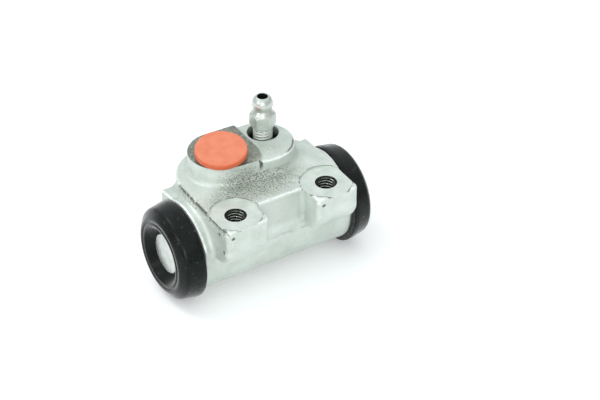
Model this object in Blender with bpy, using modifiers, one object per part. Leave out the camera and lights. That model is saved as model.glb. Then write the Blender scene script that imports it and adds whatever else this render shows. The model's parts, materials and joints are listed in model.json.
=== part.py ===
# Drum brake wheel cylinder with two pistons, screwed to the backplate by two blind M6 holes.
#
# Frame: the origin is midway between the two screw holes, on the flange's mounting face.
# +Z points out of that face (through the backplate), +X along the bore, +Y from the
# screw holes towards the bore. Everything is modelled round the bore's axis, which an
# empty carries to its place below and behind the screw holes.

import math

import bmesh
import bpy
from mathutils import Vector

MM = 0.001

# Clearances
SEAT_GAP = 0.3 * MM
SLIDE_GAP = 0.2 * MM

# Sides of the shapes round the bore and of the small upright shapes, and steps of the arcs
BORE_SIDES = 40
SMALL_SIDES = 32
CORNER_STEPS = 3
BACK_STEPS = 5
RIM_STEPS = 5
BALL_STEPS = 8
COLLAR_STEPS = 16
MERGE = 0.01 * MM
SHARP_ANGLE = math.radians(35)
BEVEL_ANGLE = math.radians(50)

# Bore and barrel, measured from the middle of the bore
BORE_RADIUS = 9.525 * MM
BARREL_WALL = 3.7 * MM
BARREL_BEYOND_FLANGE = 3.0 * MM
BORE_CHAMFER = 0.6 * MM

# Spigot at each end of the barrel, which carries a boot
SPIGOT_WALL = 2.9 * MM
SPIGOT_LENGTH = 3.7 * MM
GROOVE_DEPTH = 0.8 * MM
GROOVE_WIDTH = 1.6 * MM
GROOVE_SETBACK = 0.9 * MM

# Boots
BOOT_CUFF_WALL = 2.3 * MM
BOOT_LENGTH = 7.8 * MM
BOOT_SKIN = 1.6 * MM
BOOT_SHOULDER = 3.4 * MM
BOOT_TAPER = 0.9 * MM

# Pistons
NOSE_RADIUS = 6.2 * MM
NOSE_RECESS = 2.2 * MM
NOSE_FLANGE = 1.0 * MM
NECK_RADIUS = 5.3 * MM
NECK_LENGTH = 1.7 * MM
NOSE_LENGTH = 4.2 * MM
PISTON_LENGTH = 17.3 * MM
PISTON_CHAMFER = 0.4 * MM
DIMPLE_RADIUS = 0.5 * MM
DIMPLE_DEPTH = 0.3 * MM

# Seal cups and the spring between them
CUP_LENGTH = 4.3 * MM
CUP_FLOOR = 2.2 * MM
CUP_LIP = 1.9 * MM
CUP_TAPER = 0.25 * MM
SPRING_RADIUS = 5.5 * MM
SPRING_WIRE = 0.9 * MM
SPRING_COIL_GAP = 0.1 * MM
SPRING_TURNS = 7
SPRING_POINTS_PER_TURN = 14

# Casting: the collar over the barrel, its arc's ends measured from straight back, and its shoulder
FLANGE_RISE = 2.0 * MM
COLLAR_START = math.radians(66)
COLLAR_END = math.radians(166)
SHOULDER_INSET = 0.8 * MM
SHOULDER_DROP = 1.6 * MM

# Casting: the flange and its two screw pads
SCREW_PITCH = 31.0 * MM
SCREW_SETBACK = 14.3 * MM
PAD_REACH = 7.3 * MM
PAD_INNER = 7.3 * MM
PAD_OUTER = 6.8 * MM
PAD_HEIGHT = 8.5 * MM
PAD_CORNER = 1.6 * MM
UNDERSIDE_SLOPE = math.radians(45)
WEB_PROUD = 0.4 * MM
CAST_PROUD = 0.4 * MM
FLANGE_LEFT_RADIUS = 15.9 * MM
FLANGE_LEFT_Y = 4.6 * MM
FLANGE_RIGHT_RADIUS = 9.0 * MM
FLANGE_RIGHT_Y = 1.4 * MM
FLANGE_LEDGE = 0.6 * MM
OVERHANG_START = 6.1 * MM
SPOT_RADIUS = 7.8 * MM
EDGE_ROUND = 0.5 * MM

# Blind screw holes
SCREW_HOLE_RADIUS = 3.05 * MM
SCREW_HOLE_MOUTH = 3.35 * MM
SCREW_HOLE_DEPTH = 11.0 * MM
DRILL_POINT = math.radians(59)

# Boss with the bleed port and, on a raised face at its left end, the pipe port
BOSS_HEIGHT = 5.6 * MM
PORT_FACE_RISE = 0.9 * MM
PORT_END_X = -7.4 * MM
PORT_END_Y = 8.1 * MM
PORT_END_RADIUS = 9.7 * MM
BLEED_END_X = 6.0 * MM
BLEED_END_Y = 7.0 * MM
BLEED_END_RADIUS = 10.1 * MM
BOSS_WALL_HEIGHT = 3.2 * MM
BOSS_FLARE = 1.4 * MM
FLARE_STEPS = 4
BOSS_SIDES = 40
STEP_X = 2.9 * MM
STEP_Y = 4.0 * MM
STEP_RADIUS = 7.4 * MM
STEP_ANGLE = math.radians(62)

# Pipe port and its plug, which sits a little askew
PORT_X = -8.7 * MM
PORT_Y = 5.9 * MM
PORT_RADIUS = 4.6 * MM
PORT_DEPTH = 12.0 * MM
PORT_PASSAGE_RADIUS = 1.3 * MM
PLUG_HEAD_RADIUS = 7.95 * MM
PLUG_HEAD_THICKNESS = 1.9 * MM
PLUG_ROUND = 0.4 * MM
PLUG_STEM_RADIUS = 3.8 * MM
PLUG_STEM_LENGTH = 5.5 * MM
PLUG_LEAN = math.radians(6)
PLUG_LEAN_TURN = math.radians(-31)

# Bleed port and its screw
BLEED_X = 9.0 * MM
BLEED_Y = 10.8 * MM
BLEED_RECESS_RADIUS = 4.6 * MM
BLEED_RECESS_DEPTH = 5.0 * MM
BLEED_PORT_DEPTH = 11.5 * MM
BLEED_PASSAGE_RADIUS = 1.0 * MM
BLEED_PASSAGE_LENGTH = 12.0 * MM
BLEED_PASSAGE_TILT = math.radians(22)
SHANK_RADIUS = 2.95 * MM
SHANK_RISE = 2.9 * MM
HEX_ACROSS_FLATS = 7.0 * MM
HEX_HEIGHT = 4.4 * MM
HEX_CONE = 1.0 * MM
HEX_TURN = math.radians(-122)
NIPPLE_NECK = 2.25 * MM
NIPPLE_BALL = 3.1 * MM
NIPPLE_MOUTH = 1.9 * MM
NIPPLE_BORE = 1.4 * MM
NIPPLE_HEIGHT = 12.9 * MM
TIP_RADIUS = 1.3 * MM
TIP_CONE = 2.0 * MM

# Worked out from the sizes above
FLANGE_HALF = SCREW_PITCH / 2 + PAD_OUTER
BARREL_HALF = FLANGE_HALF + BARREL_BEYOND_FLANGE
BARREL_RADIUS = BORE_RADIUS + BARREL_WALL
SPIGOT_RADIUS = BORE_RADIUS + SPIGOT_WALL
SPIGOT_END = BARREL_HALF + SPIGOT_LENGTH
CUFF_RADIUS = SPIGOT_RADIUS + SEAT_GAP
BOOT_RADIUS = CUFF_RADIUS + BOOT_CUFF_WALL
BOOT_START = BARREL_HALF + SEAT_GAP
BOOT_END = BOOT_START + BOOT_LENGTH
COLLAR_RADIUS = BOOT_RADIUS
MOUNT_HEIGHT = COLLAR_RADIUS + FLANGE_RISE
CAST_TOP = MOUNT_HEIGHT + CAST_PROUD
SHOULDER_DEPTH = BARREL_RADIUS - SHOULDER_INSET
SHOULDER_FOOT = math.sqrt(BARREL_RADIUS ** 2 - SHOULDER_DEPTH ** 2) - SEAT_GAP
NOSE_FACE = BOOT_END - NOSE_RECESS
NOSE_END = NOSE_FACE - NOSE_LENGTH
PISTON_RADIUS = BORE_RADIUS - SLIDE_GAP
PISTON_BACK = NOSE_FACE - PISTON_LENGTH
CUP_FACE = PISTON_BACK - SEAT_GAP
CUP_MOUTH = CUP_FACE - CUP_LENGTH
SPRING_HALF = CUP_FACE - CUP_FLOOR - SEAT_GAP
PAD_FRONT = -SCREW_SETBACK - PAD_REACH
PAD_INNER_X = SCREW_PITCH / 2 - PAD_INNER
WEB_FRONT = -BARREL_RADIUS - WEB_PROUD
BOSS_TOP = MOUNT_HEIGHT + BOSS_HEIGHT
PORT_FACE = BOSS_TOP + PORT_FACE_RISE
PORT_BOTTOM = PORT_FACE - PORT_DEPTH
BLEED_RECESS_FLOOR = BOSS_TOP - BLEED_RECESS_DEPTH
BLEED_BOTTOM = BOSS_TOP - BLEED_PORT_DEPTH
BLEED_RADIUS = SHANK_RADIUS + SEAT_GAP
HEX_BOTTOM = BOSS_TOP + SHANK_RISE
NIPPLE_TOP = BOSS_TOP + NIPPLE_HEIGHT


def clear_scene():
    for obj in list(bpy.data.objects):
        bpy.data.objects.remove(obj, do_unlink=True)


def new_collection(name):
    collection = bpy.data.collections.new(name)
    bpy.context.scene.collection.children.link(collection)
    return collection


def new_material(name, color, roughness, metallic):
    material = bpy.data.materials.new(name)
    material.use_nodes = True
    shader = material.node_tree.nodes["Principled BSDF"]
    shader.inputs["Base Color"].default_value = (*color, 1.0)
    shader.inputs["Roughness"].default_value = roughness
    shader.inputs["Metallic"].default_value = metallic
    return material


def add_object(name, mesh, collection, parent):
    obj = bpy.data.objects.new(name, mesh)
    collection.objects.link(obj)
    obj.parent = parent
    return obj


def turned(name, profile, collection, parent, sides, ring=False):
    """Turns (radius, height) points, which run down the outer side, about the local Z axis."""
    count = len(profile)
    edges = [(i, i + 1) for i in range(count - 1)]
    if ring:
        edges.append((count - 1, 0))
    mesh = bpy.data.meshes.new(name)
    mesh.from_pydata([(radius, 0.0, height) for radius, height in profile], edges, [])
    obj = add_object(name, mesh, collection, parent)
    screw = obj.modifiers.new("turn", "SCREW")
    screw.angle = math.tau
    screw.steps = sides
    screw.render_steps = sides
    screw.use_merge_vertices = True
    screw.merge_threshold = MERGE
    screw.use_smooth_shade = True
    return obj


def along_bore(obj, side):
    """Lays an upright turned shape on the bore's axis, its top towards side times X."""
    obj.rotation_euler = (0.0, side * math.pi / 2, 0.0)


def arc(center, radius, start, end, steps):
    """Points of an arc from one angle to another, both ends included."""
    points = []
    for i in range(steps + 1):
        angle = start + (end - start) * i / steps
        points.append((center[0] + radius * math.cos(angle), center[1] + radius * math.sin(angle)))
    return points


def extruded(name, outline, low, high, collection, parent):
    """A flat outline as a mesh, from low to high along its own Z axis."""
    curve = bpy.data.curves.new(name, "CURVE")
    curve.dimensions = "2D"
    curve.fill_mode = "BOTH"
    curve.extrude = (high - low) / 2
    spline = curve.splines.new("POLY")
    spline.points.add(len(outline) - 1)
    for point, (x, y) in zip(spline.points, outline):
        point.co = (x, y, 0.0, 1.0)
    spline.use_cyclic_u = True
    guide = add_object(name + "_outline", curve, collection, None)
    bpy.context.view_layer.update()
    evaluated = guide.evaluated_get(bpy.context.evaluated_depsgraph_get())
    mesh = bpy.data.meshes.new_from_object(evaluated)
    bpy.data.objects.remove(guide, do_unlink=True)
    body = bmesh.new()
    body.from_mesh(mesh)
    bmesh.ops.remove_doubles(body, verts=body.verts, dist=MERGE)
    bmesh.ops.translate(body, verts=body.verts, vec=(0.0, 0.0, (high + low) / 2))
    bmesh.ops.recalc_face_normals(body, faces=body.faces)
    body.to_mesh(mesh)
    body.free()
    mesh.name = name
    return add_object(name, mesh, collection, parent)


def extruded_along_bore(name, outline, half, collection, parent):
    """An outline of (y, z) points as a solid from -half to half along X."""
    obj = extruded(name, outline, -half, half, collection, parent)
    obj.rotation_euler = (math.pi / 2, 0.0, math.pi / 2)
    return obj


def lofted(name, rings, collection, parent):
    """A solid through rings of points, lowest ring first, with the same count in each."""
    body = bmesh.new()
    rows = [[body.verts.new(point) for point in ring] for ring in rings]
    count = len(rows[0])
    for lower, upper in zip(rows, rows[1:]):
        for i in range(count):
            j = (i + 1) % count
            body.faces.new((lower[i], lower[j], upper[j], upper[i]))
    body.faces.new(list(reversed(rows[0])))
    body.faces.new(rows[-1])
    mesh = bpy.data.meshes.new(name)
    body.to_mesh(mesh)
    body.free()
    return add_object(name, mesh, collection, parent)


def rounded_edges(obj, width):
    bevel = obj.modifiers.new("rounded edges", "BEVEL")
    bevel.width = width
    bevel.segments = 2
    bevel.limit_method = "ANGLE"
    bevel.angle_limit = BEVEL_ANGLE


def boolean(obj, other, operation):
    modifier = obj.modifiers.new(other.name, "BOOLEAN")
    modifier.operation = operation
    modifier.solver = "EXACT"
    modifier.object = other
    other.hide_render = True
    other.display_type = "WIRE"


def upright_cutter(name, x, y, profile, cutters, parent, sides=SMALL_SIDES):
    """A turned cutter on an upright axis, turned half a side so that no edge meets the bore's edges."""
    cutter = turned(name, profile, cutters, parent, sides)
    cutter.location = (x, y, 0.0)
    cutter.rotation_euler = (0.0, 0.0, math.pi / sides)
    return cutter


def drill_point(radius):
    """The height of the cone that a drill of this radius leaves."""
    return radius / math.tan(DRILL_POINT)


def barrel(collection, parent):
    """The outside of the barrel with its two grooved spigots, along X."""
    groove_start = BARREL_HALF + GROOVE_SETBACK
    groove_end = groove_start + GROOVE_WIDTH
    groove_radius = SPIGOT_RADIUS - GROOVE_DEPTH
    half = [
        (SPIGOT_RADIUS, SPIGOT_END),
        (SPIGOT_RADIUS, groove_end),
        (groove_radius, groove_end),
        (groove_radius, groove_start),
        (SPIGOT_RADIUS, groove_start),
        (SPIGOT_RADIUS, BARREL_HALF),
        (BARREL_RADIUS, BARREL_HALF),
    ]
    mirrored = [(radius, -height) for radius, height in reversed(half)]
    profile = [(0.0, SPIGOT_END)] + half + mirrored + [(0.0, -SPIGOT_END)]
    obj = turned("cylinder_body", profile, collection, parent, BORE_SIDES)
    along_bore(obj, 1)
    return obj


def collar(cutters, parent):
    """The round collar over the barrel and the square shoulder behind it, seen along X."""
    outline = [(SHOULDER_DEPTH, SHOULDER_FOOT), (SHOULDER_DEPTH, COLLAR_RADIUS - SHOULDER_DROP)]
    outline += arc((0.0, 0.0), COLLAR_RADIUS, COLLAR_START, COLLAR_END, COLLAR_STEPS)
    outline += [(-BORE_RADIUS, 0.0), (0.0, 0.0)]
    return extruded_along_bore("collar", outline, BARREL_HALF, cutters, parent)


def tangent_angle(first, first_radius, second, second_radius):
    """The outward angle of the line that touches two circles, going counter-clockwise round both."""
    offset = second - first
    return math.atan2(offset.y, offset.x) - math.acos((first_radius - second_radius) / offset.length)


def flange_outline():
    """The flange and its two screw pads seen from above, counter-clockwise from the left pad."""
    corner = PAD_CORNER
    quarter = math.pi / 2
    front = PAD_FRONT + corner
    outline = arc((-FLANGE_HALF + corner, front), corner, 2 * quarter, 3 * quarter, CORNER_STEPS)
    outline += arc((-PAD_INNER_X - corner, front), corner, -quarter, 0.0, CORNER_STEPS)
    outline += [(-PAD_INNER_X, WEB_FRONT), (PAD_INNER_X, WEB_FRONT)]
    outline += arc((PAD_INNER_X + corner, front), corner, 2 * quarter, 3 * quarter, CORNER_STEPS)
    outline += arc((FLANGE_HALF - corner, front), corner, -quarter, 0.0, CORNER_STEPS)

    right = Vector((FLANGE_HALF - FLANGE_RIGHT_RADIUS, FLANGE_RIGHT_Y))
    middle = Vector((BLEED_END_X, BLEED_END_Y))
    middle_radius = BLEED_END_RADIUS + BOSS_FLARE + FLANGE_LEDGE
    left = Vector((-FLANGE_HALF + FLANGE_LEFT_RADIUS, FLANGE_LEFT_Y))
    to_middle = tangent_angle(right, FLANGE_RIGHT_RADIUS, middle, middle_radius)
    to_left = tangent_angle(middle, middle_radius, left, FLANGE_LEFT_RADIUS) % math.tau
    outline += arc(right, FLANGE_RIGHT_RADIUS, 0.0, to_middle, BACK_STEPS)
    outline += arc(middle, middle_radius, to_middle, to_left, BACK_STEPS)
    outline += arc(left, FLANGE_LEFT_RADIUS, to_left, 2 * quarter, BACK_STEPS * 2)
    return outline


def flange(cutters, parent):
    """The flange down to the barrel, sloped back to the barrel under the pads and under its back."""
    obj = extruded("flange", flange_outline(), SHOULDER_FOOT, CAST_TOP, cutters, parent)
    rounded_edges(obj, EDGE_ROUND)
    low = MOUNT_HEIGHT - PAD_HEIGHT
    rise = math.tan(UNDERSIDE_SLOPE)
    beyond = PAD_FRONT * 2
    front = extruded_along_bore("underside", [
        (beyond, low),
        (PAD_FRONT, low),
        (0.0, low + PAD_FRONT * rise),
        (beyond, low + PAD_FRONT * rise),
    ], FLANGE_HALF * 2, cutters, parent)
    start = SHOULDER_DEPTH - SEAT_GAP
    back = extruded_along_bore("overhang", [
        (start, -BARREL_RADIUS),
        (-beyond, -BARREL_RADIUS),
        (-beyond, OVERHANG_START + (-beyond - start) * rise),
        (start, OVERHANG_START),
    ], FLANGE_HALF * 2, cutters, parent)
    boolean(obj, front, "DIFFERENCE")
    boolean(obj, back, "DIFFERENCE")
    return obj


def boss_ring(height, grow):
    """The boss's outline at one height: two circles and their common tangents, grown outwards."""
    first = Vector((BLEED_END_X, BLEED_END_Y))
    second = Vector((PORT_END_X, PORT_END_Y))
    offset = second - first
    direction = math.atan2(offset.y, offset.x)
    lean = math.asin((BLEED_END_RADIUS - PORT_END_RADIUS) / offset.length)
    turn = math.pi / 2 - lean
    steps = BOSS_SIDES // 2
    points = arc(first, BLEED_END_RADIUS + grow, direction + turn - math.tau, direction - turn, steps)
    points += arc(second, PORT_END_RADIUS + grow, direction - turn, direction + turn, steps)
    return [(x, y, height) for x, y in points]


def boss(cutters, parent):
    """The boss for both ports: an upright wall over a flare that sweeps out to the flange."""
    flare_height = BOSS_HEIGHT - CAST_PROUD - BOSS_WALL_HEIGHT
    rings = [boss_ring(MOUNT_HEIGHT - BOSS_FLARE, BOSS_FLARE)]
    for i in range(FLARE_STEPS + 1):
        angle = math.pi / 2 * i / FLARE_STEPS
        grow = BOSS_FLARE * (1 - math.sin(angle))
        rings.append(boss_ring(CAST_TOP + flare_height * (1 - math.cos(angle)), grow))
    rings.append(boss_ring(PORT_FACE, 0.0))
    obj = lofted("boss", rings, cutters, parent)
    far = FLANGE_HALF * 2
    outline = [(STEP_X, far)]
    outline += arc((STEP_X - STEP_RADIUS, STEP_Y), STEP_RADIUS, 0.0, -STEP_ANGLE, BACK_STEPS)
    outline += [(outline[-1][0], -far), (far, -far), (far, far)]
    step = extruded("bleed_end_step", outline, BOSS_TOP, PORT_FACE + SEAT_GAP, cutters, parent)
    boolean(obj, step, "DIFFERENCE")
    return obj


def body_cutters(cutters, parent):
    """The bore, the spot faces, the ports, the screw holes and the passages to the bore."""
    over = SEAT_GAP
    bore = turned("bore", [
        (0.0, SPIGOT_END + over),
        (BORE_RADIUS + BORE_CHAMFER + over, SPIGOT_END + over),
        (BORE_RADIUS, SPIGOT_END - BORE_CHAMFER),
        (BORE_RADIUS, -SPIGOT_END + BORE_CHAMFER),
        (BORE_RADIUS + BORE_CHAMFER + over, -SPIGOT_END - over),
        (0.0, -SPIGOT_END - over),
    ], cutters, parent, BORE_SIDES)
    along_bore(bore, 1)
    found = [bore]

    for side, word in ((-1, "left"), (1, "right")):
        x = side * SCREW_PITCH / 2
        spot = upright_cutter(f"{word}_spot_face", x, -SCREW_SETBACK, [
            (0.0, BOSS_TOP + over),
            (SPOT_RADIUS, BOSS_TOP + over),
            (SPOT_RADIUS, MOUNT_HEIGHT),
            (0.0, MOUNT_HEIGHT),
        ], cutters, parent)
        countersink = SCREW_HOLE_MOUTH - SCREW_HOLE_RADIUS
        bottom = MOUNT_HEIGHT - SCREW_HOLE_DEPTH
        hole = upright_cutter(f"{word}_screw_hole", x, -SCREW_SETBACK, [
            (0.0, MOUNT_HEIGHT + over),
            (SCREW_HOLE_MOUTH + over, MOUNT_HEIGHT + over),
            (SCREW_HOLE_RADIUS, MOUNT_HEIGHT - countersink),
            (SCREW_HOLE_RADIUS, bottom),
            (0.0, bottom - drill_point(SCREW_HOLE_RADIUS)),
        ], cutters, parent)
        found += [spot, hole]

    port = upright_cutter("port", PORT_X, PORT_Y, [
        (0.0, PORT_FACE + over),
        (PORT_RADIUS, PORT_FACE + over),
        (PORT_RADIUS, PORT_BOTTOM),
        (PORT_PASSAGE_RADIUS, PORT_BOTTOM - drill_point(PORT_RADIUS - PORT_PASSAGE_RADIUS)),
        (PORT_PASSAGE_RADIUS, 0.0),
        (0.0, 0.0),
    ], cutters, parent)
    bleed = upright_cutter("bleed_port", BLEED_X, BLEED_Y, [
        (0.0, BOSS_TOP + over),
        (BLEED_RECESS_RADIUS, BOSS_TOP + over),
        (BLEED_RECESS_RADIUS, BLEED_RECESS_FLOOR),
        (BLEED_RADIUS, BLEED_RECESS_FLOOR),
        (BLEED_RADIUS, BLEED_BOTTOM),
        (0.0, BLEED_BOTTOM - drill_point(BLEED_RADIUS)),
    ], cutters, parent)
    passage = turned("bleed_passage", [
        (0.0, 0.0),
        (BLEED_PASSAGE_RADIUS, 0.0),
        (BLEED_PASSAGE_RADIUS, -BLEED_PASSAGE_LENGTH),
        (0.0, -BLEED_PASSAGE_LENGTH),
    ], cutters, parent, SMALL_SIDES // 2)
    passage.location = (BLEED_X, BLEED_Y, BLEED_BOTTOM)
    passage.rotation_euler = (-BLEED_PASSAGE_TILT, 0.0, 0.0)
    return found + [port, bleed, passage]


def cylinder_body(parts, cutters, parent):
    """The iron casting: barrel, collar, flange and boss in one piece, then machined."""
    body = barrel(parts, parent)
    for piece in (collar(cutters, parent), flange(cutters, parent), boss(cutters, parent)):
        boolean(body, piece, "UNION")
    for cutter in body_cutters(cutters, parent):
        boolean(body, cutter, "DIFFERENCE")
    return body


def boot(name, side, parts, parent):
    """A rubber boot: a cuff with a bead on the spigot, a round rim, and a fold in to the piston's neck."""
    groove_start = BARREL_HALF + GROOVE_SETBACK + SEAT_GAP
    groove_end = groove_start + GROOVE_WIDTH - 2 * SEAT_GAP
    bead_radius = SPIGOT_RADIUS - GROOVE_DEPTH + SEAT_GAP
    shoulder = BOOT_RADIUS - BOOT_TAPER - BOOT_SHOULDER
    rim_height = BOOT_END - BOOT_SHOULDER
    neck_end = NOSE_FACE - NOSE_FLANGE - SEAT_GAP
    neck_start = neck_end - NECK_LENGTH + 2 * SEAT_GAP
    neck = NECK_RADIUS + SEAT_GAP
    lip = NOSE_RADIUS + BOOT_SKIN / 2
    outer_rim = arc((shoulder, rim_height), BOOT_SHOULDER, math.pi / 2, 0.0, RIM_STEPS)
    inner = BOOT_SHOULDER - BOOT_SKIN
    inner_rim = arc((shoulder, rim_height), inner, 0.0, math.pi / 2, RIM_STEPS)
    round_off = BOOT_SKIN / 4
    profile = [(neck, neck_end), (lip, neck_end), (shoulder - BOOT_SKIN / 2, BOOT_END - round_off)]
    profile += outer_rim
    profile += [
        (BOOT_RADIUS, BOOT_START + round_off),
        (BOOT_RADIUS - round_off, BOOT_START),
        (CUFF_RADIUS, BOOT_START),
        (CUFF_RADIUS, groove_start),
        (bead_radius, groove_start),
        (bead_radius, groove_end),
        (CUFF_RADIUS, groove_end),
        (CUFF_RADIUS, SPIGOT_END),
    ]
    profile += inner_rim
    profile += [(lip, neck_start), (neck, neck_start)]
    obj = turned(name, profile, parts, parent, BORE_SIDES, ring=True)
    along_bore(obj, side)
    return obj


def piston(name, side, parts, parent):
    """A piston with its nose, the boot's neck groove and a centre mark on its face."""
    flange_end = NOSE_FACE - NOSE_FLANGE
    neck_end = flange_end - NECK_LENGTH
    chamfer = PISTON_CHAMFER
    profile = [
        (0.0, NOSE_FACE - DIMPLE_DEPTH),
        (DIMPLE_RADIUS, NOSE_FACE),
        (NOSE_RADIUS - chamfer, NOSE_FACE),
        (NOSE_RADIUS, NOSE_FACE - chamfer),
        (NOSE_RADIUS, flange_end),
        (NECK_RADIUS, flange_end),
        (NECK_RADIUS, neck_end),
        (NOSE_RADIUS, neck_end),
        (NOSE_RADIUS, NOSE_END),
        (PISTON_RADIUS - chamfer, NOSE_END),
        (PISTON_RADIUS, NOSE_END - chamfer),
        (PISTON_RADIUS, PISTON_BACK + chamfer),
        (PISTON_RADIUS - chamfer, PISTON_BACK),
        (0.0, PISTON_BACK),
    ]
    obj = turned(name, profile, parts, parent, BORE_SIDES)
    along_bore(obj, side)
    return obj


def seal_cup(name, side, parts, parent):
    """A rubber cup behind the piston, its lip open towards the fluid."""
    profile = [
        (0.0, CUP_FACE),
        (PISTON_RADIUS - CUP_TAPER, CUP_FACE),
        (PISTON_RADIUS, CUP_MOUTH),
        (PISTON_RADIUS - CUP_LIP / 2, CUP_MOUTH),
        (PISTON_RADIUS - CUP_LIP, CUP_FACE - CUP_FLOOR),
        (0.0, CUP_FACE - CUP_FLOOR),
    ]
    obj = turned(name, profile, parts, parent, BORE_SIDES)
    along_bore(obj, side)
    return obj


def piston_spring(parts, parent):
    """A coil spring between the cups, with its end turns closed up."""
    wire = SPRING_WIRE / 2
    reach = SPRING_HALF - wire
    closed = SPRING_WIRE + SPRING_COIL_GAP
    count = SPRING_TURNS * SPRING_POINTS_PER_TURN
    open_turns = SPRING_TURNS - 2
    pitch = 2 * (reach - closed) / open_turns
    curve = bpy.data.curves.new("piston_spring", "CURVE")
    curve.dimensions = "3D"
    curve.bevel_depth = wire
    curve.bevel_resolution = 2
    curve.use_fill_caps = True
    spline = curve.splines.new("POLY")
    spline.points.add(count)
    for i, point in enumerate(spline.points):
        turn = i / SPRING_POINTS_PER_TURN
        rise = closed * min(turn, 1.0) + closed * max(turn - SPRING_TURNS + 1, 0.0)
        rise += pitch * min(max(turn - 1.0, 0.0), open_turns)
        angle = math.tau * turn
        y, z = SPRING_RADIUS * math.cos(angle), SPRING_RADIUS * math.sin(angle)
        point.co = (rise - reach, y, z, 1.0)
    guide = add_object("piston_spring_path", curve, parts, parent)
    bpy.context.view_layer.update()
    evaluated = guide.evaluated_get(bpy.context.evaluated_depsgraph_get())
    mesh = bpy.data.meshes.new_from_object(evaluated)
    bpy.data.objects.remove(guide, do_unlink=True)
    body = bmesh.new()
    body.from_mesh(mesh)
    bmesh.ops.remove_doubles(body, verts=body.verts, dist=MERGE)
    body.to_mesh(mesh)
    body.free()
    return add_object("piston_spring", mesh, parts, parent)


def bleed_screw(parts, cutters, parent):
    """The bleed screw: coned tip, threaded shank, hexagon, and the round hose nipple with its bore."""
    ball_center = NIPPLE_TOP - math.sqrt(NIPPLE_BALL ** 2 - NIPPLE_MOUTH ** 2)
    hex_top = HEX_BOTTOM + HEX_HEIGHT
    neck_angle = -math.acos(NIPPLE_NECK / NIPPLE_BALL)
    mouth_angle = math.acos(NIPPLE_MOUTH / NIPPLE_BALL)
    ball = arc((0.0, ball_center), NIPPLE_BALL, mouth_angle, neck_angle, BALL_STEPS)
    tip_top = BLEED_BOTTOM + SEAT_GAP * 2 + TIP_CONE
    profile = [(0.0, NIPPLE_TOP)] + ball
    profile += [
        (NIPPLE_NECK, hex_top + HEX_CONE),
        (HEX_ACROSS_FLATS / 2 - SEAT_GAP, hex_top),
        (HEX_ACROSS_FLATS / 2 - SEAT_GAP, HEX_BOTTOM),
        (SHANK_RADIUS, HEX_BOTTOM),
        (SHANK_RADIUS, tip_top),
        (TIP_RADIUS, tip_top - TIP_CONE),
        (0.0, tip_top - TIP_CONE),
    ]
    obj = turned("bleed_screw", profile, parts, parent, SMALL_SIDES)
    obj.location = (BLEED_X, BLEED_Y, 0.0)

    corner = HEX_ACROSS_FLATS / 2 / math.cos(math.pi / 6)
    hexagon = turned("hexagon", [
        (0.0, hex_top),
        (corner, hex_top),
        (corner, HEX_BOTTOM),
        (0.0, HEX_BOTTOM),
    ], cutters, parent, 6)
    hexagon.location = obj.location
    hexagon.rotation_euler = (0.0, 0.0, HEX_TURN + math.pi / 6)
    boolean(obj, hexagon, "UNION")

    bore = upright_cutter("nipple_bore", BLEED_X, BLEED_Y, [
        (0.0, NIPPLE_TOP + SEAT_GAP),
        (NIPPLE_BORE, NIPPLE_TOP + SEAT_GAP),
        (NIPPLE_BORE, tip_top),
        (0.0, tip_top - drill_point(NIPPLE_BORE)),
    ], cutters, parent, SMALL_SIDES // 2)
    boolean(obj, bore, "DIFFERENCE")
    return obj


def port_plug(parts, parent):
    """The plastic plug that keeps dirt out of the pipe port: a disc on a stem, pushed in askew."""
    bottom = -PLUG_STEM_LENGTH
    top = PLUG_HEAD_THICKNESS
    rim = PLUG_HEAD_RADIUS - PLUG_ROUND
    profile = [(0.0, top)]
    profile += arc((rim, top - PLUG_ROUND), PLUG_ROUND, math.pi / 2, 0.0, CORNER_STEPS)
    profile += arc((rim, PLUG_ROUND), PLUG_ROUND, 0.0, -math.pi / 2, CORNER_STEPS)
    profile += [
        (PLUG_STEM_RADIUS, 0.0),
        (PLUG_STEM_RADIUS, bottom + PLUG_ROUND),
        (PLUG_STEM_RADIUS - PLUG_ROUND, bottom),
        (0.0, bottom),
    ]
    obj = turned("port_plug", profile, parts, parent, SMALL_SIDES)
    lift = PLUG_HEAD_RADIUS * math.sin(PLUG_LEAN) + SEAT_GAP
    obj.location = (PORT_X, PORT_Y, PORT_FACE + lift)
    obj.rotation_euler = (PLUG_LEAN, 0.0, PLUG_LEAN_TURN)
    return obj


def finish(obj, material):
    """Bakes the modifiers, shades the round faces smooth and gives the material."""
    bpy.context.view_layer.update()
    evaluated = obj.evaluated_get(bpy.context.evaluated_depsgraph_get())
    mesh = bpy.data.meshes.new_from_object(evaluated)
    mesh.name = obj.name
    obj.modifiers.clear()
    obj.data = mesh
    mesh.shade_smooth()
    mesh.set_sharp_from_angle(angle=SHARP_ANGLE)
    mesh.materials.clear()
    mesh.materials.append(material)


def build():
    clear_scene()
    parts = new_collection("wheel_cylinder")
    cutters = new_collection("cutters")
    axis = bpy.data.objects.new("bore_axis", None)
    parts.objects.link(axis)
    axis.location = (0.0, SCREW_SETBACK, -MOUNT_HEIGHT)

    iron = (0.62, 0.65, 0.60)
    rubber = (0.02, 0.026, 0.025)
    steel = (0.72, 0.72, 0.70)
    finish(cylinder_body(parts, cutters, axis), new_material("cast_iron", iron, 0.45, 0.9))
    for side, word in ((-1, "left"), (1, "right")):
        finish(boot(f"{word}_boot", side, parts, axis), new_material(f"{word}_boot_rubber", rubber, 0.55, 0.0))
        finish(piston(f"{word}_piston", side, parts, axis), new_material(f"{word}_piston_metal", steel, 0.3, 1.0))
        finish(seal_cup(f"{word}_seal_cup", side, parts, axis), new_material(f"{word}_cup_rubber", rubber, 0.4, 0.0))
    finish(piston_spring(parts, axis), new_material("spring_steel", steel, 0.35, 1.0))
    finish(bleed_screw(parts, cutters, axis), new_material("bleed_screw_steel", steel, 0.2, 1.0))
    finish(port_plug(parts, axis), new_material("plug_plastic", (0.85, 0.25, 0.14), 0.4, 0.0))


build()
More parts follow.
